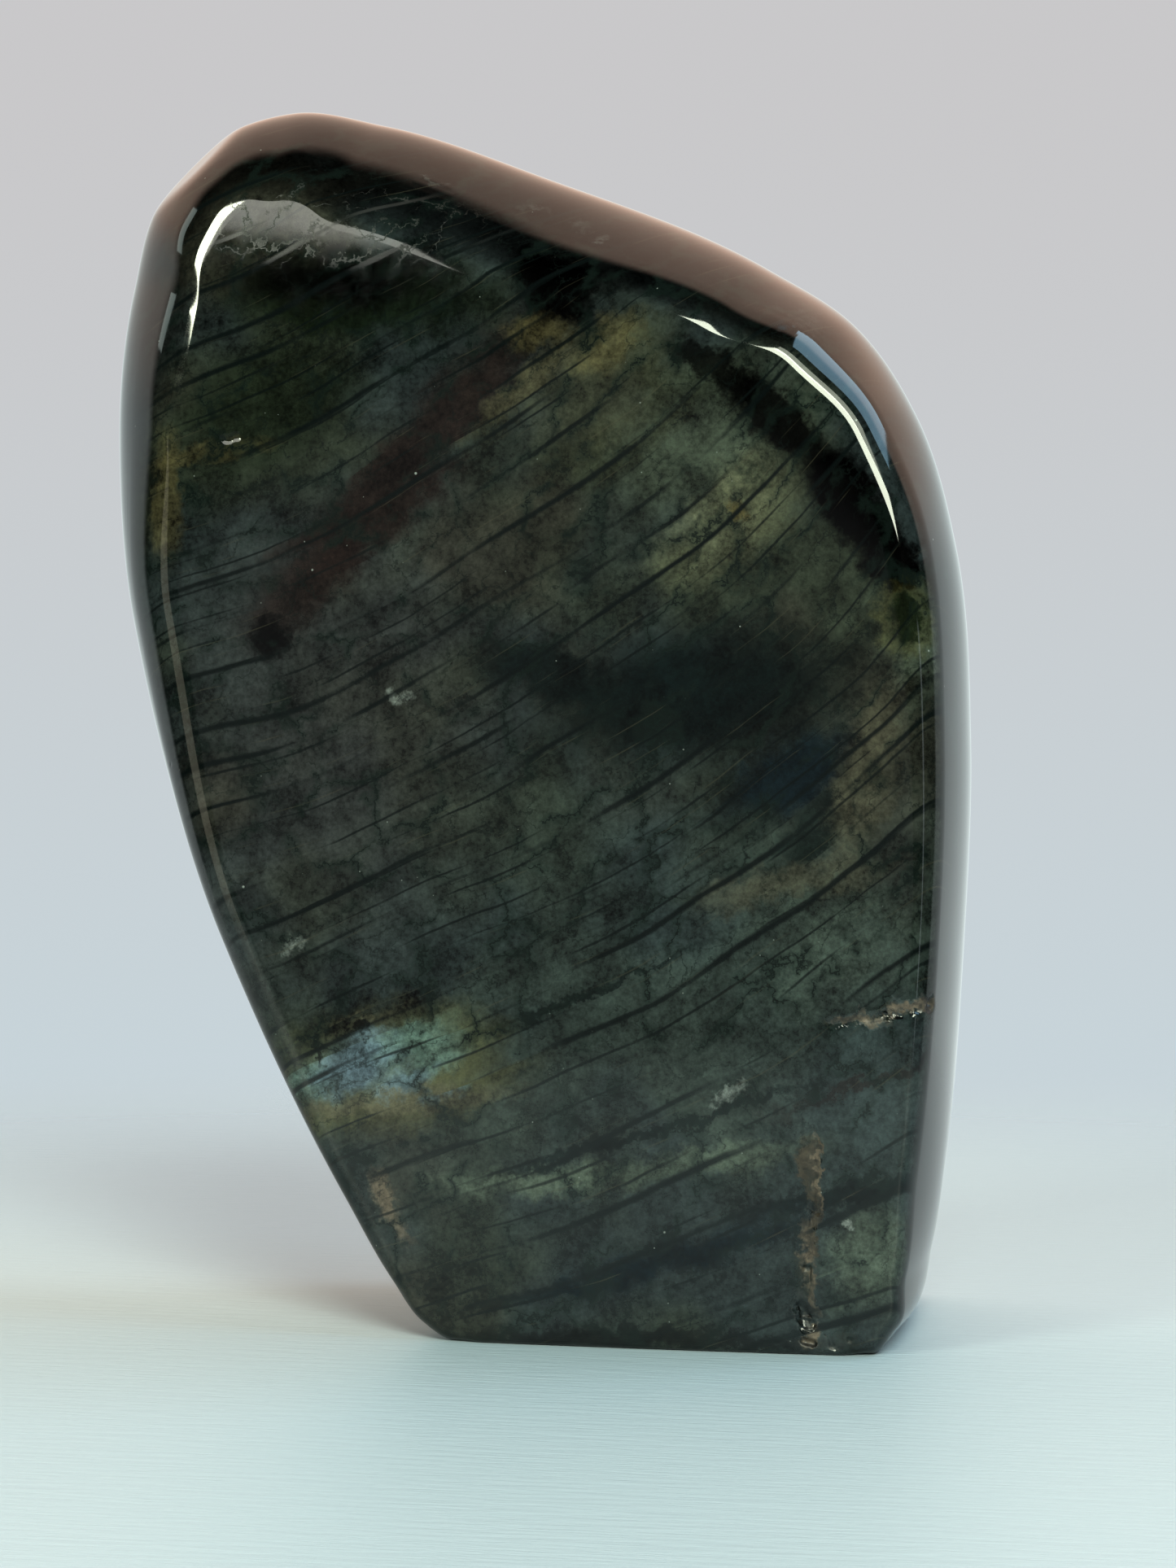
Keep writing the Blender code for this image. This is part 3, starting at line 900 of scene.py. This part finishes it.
def labradorite():
    """The polished stone: clouded sheets with dark partings, inclusions, and painted play of colour,
    sheen and shade.
    """
    material = bpy.data.materials.new("polished_labradorite")
    material.use_nodes = True
    tree = material.node_tree
    shader = tree.nodes["Principled BSDF"]
    shader.inputs["IOR"].default_value = REFRACTIVE_INDEX
    shader.inputs["Metallic"].default_value = 0.0

    here = node(tree, "TexCoord").outputs["Object"]
    place = vector(tree, "MULTIPLY_ADD", here, (1 / MILLIMETRE,) * 3, tuple(MIDDLE))
    sheets = place_group(tree, sheets_of_stone, {"Place": place})["Sheets"]
    families = {}
    for name, (offset, spacing, run, width, drift, kept) in PARTING_FAMILIES.items():
        families[name] = place_group(tree, partings, {
            "Sheets": vector(tree, "ADD", sheets, offset),
            "Spacing": spacing, "Run": run, "Width": width, "Drift": drift, "Kept": kept,
        })
    main = families["main"]
    second = families["second"]

    # Every sheet carries its markings a little further along than the next, and their edges fray
    values = {"Vector": place, "Scale": FRAYS_PER_MM, "Detail": 4.0, "Roughness": 0.7}
    frayed = node(tree, "TexNoise", values).outputs["Color"]
    fray = vector(tree, "MULTIPLY_ADD", frayed, FRAY, tuple(-value / 2 for value in FRAY))
    step = calc(tree, "MULTIPLY", main["Tone"], STEP_OF_MAIN)
    step = calc(tree, "MULTIPLY_ADD", second["Tone"], STEP_OF_SECOND, step)
    step = calc(tree, "SUBTRACT", step, (STEP_OF_MAIN + STEP_OF_SECOND) / 2)
    frayed_place = vector(tree, "ADD", place, fray)
    steps = node(tree, "CombineXYZ", {0: step}).outputs[0]
    stepped_place = vector(tree, "ADD", frayed_place, steps)

    # Clouds, inclusions, painted shade, and the play of colour painted as a fixed colour
    colour = mix(tree, clouds(tree, place, **GREEN_OR_BLUE), GREY_GREEN, BLUE_GREY)
    brown_share = clouds(tree, vector(tree, "ADD", place, BROWN_OFFSET), **BROWN_SHARE)
    colour = mix(tree, brown_share, colour, BROWN_GREY)
    colour = add_patches(tree, colour, stepped_place, SHEET_PATCHES_AND_PAINTED_LIGHT, front_face)
    colour = add_patches(tree, colour, stepped_place, BACK_PATCHES, back_face)
    colour = add_patches(tree, colour, frayed_place, INCLUSIONS_AND_PAINTED_SHADE, front_face)

    # The tone of each sheet and of the blocks between its cross joints, with mottle and grain
    block = blocks(tree, sheets, BLOCKS, fray, BLOCKS_FRAY, "F1")
    block_tone = node(tree, "SeparateColor", {0: block}).outputs[1]
    tone = calc(tree, "MULTIPLY_ADD", main["Tone"], TONE_OF_MAIN, GROUND_TONE)
    tone = calc(tree, "MULTIPLY_ADD", second["Tone"], TONE_OF_SECOND, tone)
    tone = calc(tree, "MULTIPLY_ADD", block_tone, TONE_OF_BLOCKS, tone)
    tone = calc(tree, "ADD", tone, clouds(tree, place, **MOTTLE))
    tone = calc(tree, "ADD", tone, clouds(tree, place, **GRAIN))
    # Painted sheen and shade: darker where the surface turns from the sheen's direction
    tone = calc(tree, "MULTIPLY", tone, painted_sheen(tree))
    tone_colour = node(tree, "CombineColor", {0: tone, 1: tone, 2: tone}).outputs[0]
    colour = mix(tree, 1.0, colour, tone_colour, "MULTIPLY")

    # Partings and cross joints over everything, the wide joints in a dark green stain
    joint = blocks(tree, sheets, BLOCKS, fray, BLOCKS_FRAY, "DISTANCE_TO_EDGE")
    small = blocks(tree, sheets, SMALL_BLOCKS, fray, SMALL_BLOCKS_FRAY, "DISTANCE_TO_EDGE")
    kept = noise(tree, place, JOINT_BREAKS_PER_MM, detail=3.0, roughness=0.6)
    joints = fade(tree, joint, *JOINT_WIDTHS)
    joints = calc(tree, "MULTIPLY", joints, fade(tree, kept, *JOINTS_COME_IN))
    small_joints = fade(tree, small, *SMALL_JOINT_WIDTHS)
    small_joints = calc(tree, "MULTIPLY", small_joints, fade(tree, kept, *SMALL_JOINTS_COME_IN))
    stain = fade(tree, joint, *STAIN_WIDTHS)
    stain = calc(tree, "MULTIPLY", stain, fade(tree, kept, *STAIN_COMES_IN))
    for mask, strength, laid in (
        (stain, STAIN_COVERS, STAIN_COLOUR),
        (joints, JOINTS_COVER, JOINT_COLOUR),
        (small_joints, SMALL_JOINTS_COVER, JOINT_COLOUR),
        (families["hair"]["Lines"], HAIR_COVERS, COLOURS["flaky"]),
        (main["Lines"], MAIN_COVERS, LINE_COLOUR),
        (second["Lines"], SECOND_COVERS, LINE_COLOUR),
    ):
        colour = mix(tree, calc(tree, "MULTIPLY", mask, strength), colour, laid)
    for spacing, size, share, strength in PALE_GRAINS:
        dots = place_group(tree, specks, {
            "Place": place, "Spacing": spacing, "Size": size, "Share": share,
        })[0]
        colour = mix(tree, calc(tree, "MULTIPLY", dots, strength), colour, COLOURS["silver"])
    feed(tree, shader.inputs["Base Color"], colour)

    # The polish, rough on crusts and broken by the cracks where the surface is crazed
    crust = 0.0
    for x, z, half_length, half_width in CRUSTS:
        centre = (x, front_face(x, z), z)
        half_size = (half_length, CRUST_DEPTH, half_width)
        patch = patch_mask(tree, frayed_place, centre, half_size, CRUST_SOFTNESS)
        crust = calc(tree, "MAXIMUM", crust, patch)
    x, z, half_length, half_width = CRAZED
    centre = (x, front_face(x, z), z)
    crazed = patch_mask(tree, place, centre, (half_length, CRUST_DEPTH, half_width), CRAZED_SOFTNESS)
    cracks = calc(tree, "MAXIMUM", calc(tree, "MAXIMUM", joints, small_joints), main["Lines"])
    crazing = calc(tree, "MULTIPLY", cracks, crazed)
    roughness = clouds(tree, place, **POLISH)
    roughness = calc(tree, "MULTIPLY_ADD", crust, CRUST_ROUGHNESS, roughness)
    roughness = calc(tree, "MULTIPLY_ADD", crazing, CRUST_ROUGHNESS, roughness)
    feed(tree, shader.inputs["Roughness"], roughness)
    return material


mesh.materials.append(labradorite())
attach(stone, "root")
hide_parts("polished_stone")

# The table
# A wide board painted a pale bluish white, with faint raised wood grain under the paint. It
# fades out far from the stone, so that no edge of it shows.
TABLE_SIZE = 3.0
TABLE_COLOUR = (0.365, 0.440, 0.49, 1.0)
TABLE_MIDDLE = (0.01, -0.07, 0.0)
TABLE_FADES_FROM = 0.12
TABLE_GONE_AT = 0.32
TABLE_ROUGHNESS = 0.5
TABLE_GRAIN_PER_METRE = (150.0, 1100.0, 1.0)
TABLE_GRAIN_STRENGTH = 0.35
TABLE_GRAIN_HEIGHT = 0.0004

table_mesh = bpy.data.meshes.new("table")
corners = ((-1, -1), (1, -1), (1, 1), (-1, 1))
table_mesh.from_pydata(
    [(x * TABLE_SIZE / 2, y * TABLE_SIZE / 2, 0) for x, y in corners], [], [(0, 1, 2, 3)]
)
table = bpy.data.objects.new("table", table_mesh)
bpy.context.scene.collection.objects.link(table)


def painted_board():
    """Paint over faint wood grain, which turns clear away from the stone."""
    material = bpy.data.materials.new("painted_board")
    material.use_nodes = True
    tree = material.node_tree
    shader = tree.nodes["Principled BSDF"]
    shader.inputs["Roughness"].default_value = TABLE_ROUGHNESS
    shader.inputs["Base Color"].default_value = TABLE_COLOUR
    here = node(tree, "TexCoord").outputs["Object"]
    grain_place = vector(tree, "MULTIPLY", here, TABLE_GRAIN_PER_METRE)
    grain = noise(tree, grain_place, 1.0, detail=5.0, roughness=0.6)
    bump = node(tree, "Bump", {
        "Height": grain, "Strength": TABLE_GRAIN_STRENGTH, "Distance": TABLE_GRAIN_HEIGHT,
    })
    feed(tree, shader.inputs["Normal"], bump.outputs[0])
    reach = node(tree, "VectorMath", {0: here, 1: TABLE_MIDDLE}, operation="DISTANCE")
    gone = fade(tree, reach.outputs["Value"], TABLE_FADES_FROM, TABLE_GONE_AT)
    blend = node(tree, "MixShader", {0: gone})
    feed(tree, blend.inputs[1], shader.outputs[0])
    feed(tree, blend.inputs[2], node(tree, "BsdfTransparent").outputs[0])
    feed(tree, tree.nodes["Material Output"].inputs["Surface"], blend.outputs[0])
    return material


table_mesh.materials.append(painted_board())

# The light
# A pale room behind the stone and a dark one in front of it, as its reflections show. A window
# with a curtain stands high at the right front, with blue sky to the right, a lamp and a strip of
# ceiling at the left, and narrow gaps of light low down on both sides.

# The place that the lights and the camera are aimed at
AIM = (0.0049, 0.0003, 0.0519)

# Each light card: name, azimuth and elevation in degrees as seen from the stone (azimuth 0 is
# straight in front of it, and grows to the right), distance, width and height in metres, turn in
# its own plane in degrees, radiance and colour
CARDS = [
    ("window_high_right", 22.0, 33.0, 1.2, 0.72, 0.36, -51.0, 15.0, (0.95, 1.0, 0.84)),
    ("curtain_right", 34.5, 41.0, 1.2, 0.66, 0.30, -51.0, 5.0, (0.95, 1.0, 0.84)),
    ("sky_right", 95.0, 50.0, 1.2, 0.80, 0.70, 0.0, 3.6, (0.50, 0.80, 1.0)),
    ("lamp_left", -42.0, 22.7, 1.2, 0.30, 0.25, -12.0, 22.0, (0.95, 1.0, 0.80)),
    ("ceiling_edge", -31.5, 22.8, 1.3, 0.56, 0.23, 0.0, 4.2, (1.0, 1.0, 0.92)),
    ("gap_left", -56.0, -6.0, 1.2, 0.36, 0.70, 0.0, 1.0, (1.0, 0.95, 0.75)),
    ("sky_left", -92.0, 26.0, 1.2, 0.10, 0.30, 0.0, 1.7, (0.85, 1.0, 0.95)),
    ("gap_right", 48.0, -6.0, 1.2, 0.10, 0.70, 0.0, 1.2, (0.85, 0.95, 1.0)),
]
CARD_WATTS_PER_RADIANCE = 4.0


def toward(azimuth, elevation):
    """Unit vector from the stone toward this azimuth and elevation."""
    a = math.radians(azimuth)
    e = math.radians(elevation)
    return (math.sin(a) * math.cos(e), -math.cos(a) * math.cos(e), math.sin(e))


def look_from(item, azimuth, elevation, distance, turn=0.0):
    """Places a camera or light there, aims it at the stone and turns it about its own axis."""
    away = toward(azimuth, elevation)
    place = Matrix.Translation([a + b * distance for a, b in zip(AIM, away)])
    around = Matrix.Rotation(math.radians(azimuth), 4, "Z")
    tilt = Matrix.Rotation(math.radians(90.0 - elevation), 4, "X")
    item.matrix_world = place @ around @ tilt @ Matrix.Rotation(math.radians(turn), 4, "Z")


for name, azimuth, elevation, distance, width, height, turn, radiance, tint in CARDS:
    card = bpy.data.lights.new(name, "AREA")
    card.shape = "RECTANGLE"
    card.size = width
    card.size_y = height
    card.color = tint
    card.energy = radiance * width * height * CARD_WATTS_PER_RADIANCE
    holder = bpy.data.objects.new(name, card)
    holder.visible_camera = False
    bpy.context.scene.collection.objects.link(holder)
    look_from(holder, azimuth, elevation, distance, turn)

# The room: the backdrop that the camera sees, and the room that lights the stone and shows in its
# polish. Behind the stone it is pale, and in front it is dark but for a round grey wall, whose
# place is given as slopes from the stone. The changes and ends say where along the direction's
# height, or from front to back, one colour gives way to the next.
BACKDROP_LOW = (0.64, 0.725, 0.765, 1.0)
BACKDROP_HIGH = (0.65, 0.645, 0.655, 1.0)
ROOM_BEHIND = (0.95, 1.05, 1.05, 1.0)
ROOM_BEHIND_HIGH = (1.62, 1.20, 0.98, 1.0)
ROOM_IN_FRONT = (0.006, 0.006, 0.006, 1.0)
GREY_WALL = (0.21, 0.22, 0.22, 1.0)
WALL_MIDDLE = (-0.30, -0.15)
WALL_RADIUS = 0.385
WALL_EDGE = 0.012
LEAST_AHEAD = 0.01
BACKDROP_CHANGES = (-0.20, 0.22)
BEHIND_CHANGES = (0.10, 0.55)
FRONT_ENDS = (0.0, 0.16)

world = bpy.data.worlds.new("room")
bpy.context.scene.world = world
world.use_nodes = True
tree = world.node_tree
background = tree.nodes["Background"]
direction = node(tree, "TexCoord").outputs["Generated"]
parts = node(tree, "SeparateXYZ", {0: direction}).outputs
backdrop = mix(tree, fade(tree, parts[2], *BACKDROP_CHANGES), BACKDROP_LOW, BACKDROP_HIGH)
behind = mix(tree, fade(tree, parts[2], *BEHIND_CHANGES), ROOM_BEHIND, ROOM_BEHIND_HIGH)
ahead = calc(tree, "MAXIMUM", calc(tree, "MULTIPLY", parts[1], -1.0), LEAST_AHEAD)
aside = calc(tree, "SUBTRACT", calc(tree, "DIVIDE", parts[0], ahead), WALL_MIDDLE[0])
above = calc(tree, "SUBTRACT", calc(tree, "DIVIDE", parts[2], ahead), WALL_MIDDLE[1])
above_squared = calc(tree, "MULTIPLY", above, above)
reach = calc(tree, "SQRT", calc(tree, "MULTIPLY_ADD", aside, aside, above_squared))
on_wall = fade(tree, reach, WALL_RADIUS + WALL_EDGE, WALL_RADIUS - WALL_EDGE)
in_front = mix(tree, on_wall, ROOM_IN_FRONT, GREY_WALL)
room = mix(tree, fade(tree, parts[1], *FRONT_ENDS), in_front, behind)
seen = node(tree, "LightPath").outputs["Is Camera Ray"]
feed(tree, background.inputs["Color"], mix(tree, seen, room, backdrop))
background.inputs["Strength"].default_value = 1.0

# The camera
# A telephone held level with the middle of the stone, about 30 cm in front of it and a little to
# its right. The gamma gives its picture's contrast.
CAMERA_AZIMUTH = 9.0
CAMERA_ELEVATION = 1.0
CAMERA_DISTANCE = 0.3084
FRAME_HEIGHT_PIXELS = 1927
FOCAL_PIXELS = 3881
SENSOR_HEIGHT = 24.0
PICTURE_GAMMA = 0.8

camera = bpy.data.cameras.new("camera")
camera.sensor_fit = "VERTICAL"
camera.sensor_height = SENSOR_HEIGHT
camera.lens = SENSOR_HEIGHT * FOCAL_PIXELS / FRAME_HEIGHT_PIXELS
camera.clip_start = 0.01
camera_holder = bpy.data.objects.new("camera", camera)
bpy.context.scene.collection.objects.link(camera_holder)
look_from(camera_holder, CAMERA_AZIMUTH, CAMERA_ELEVATION, CAMERA_DISTANCE)
bpy.context.scene.camera = camera_holder
bpy.context.scene.view_settings.view_transform = "Standard"
bpy.context.scene.view_settings.gamma = PICTURE_GAMMA
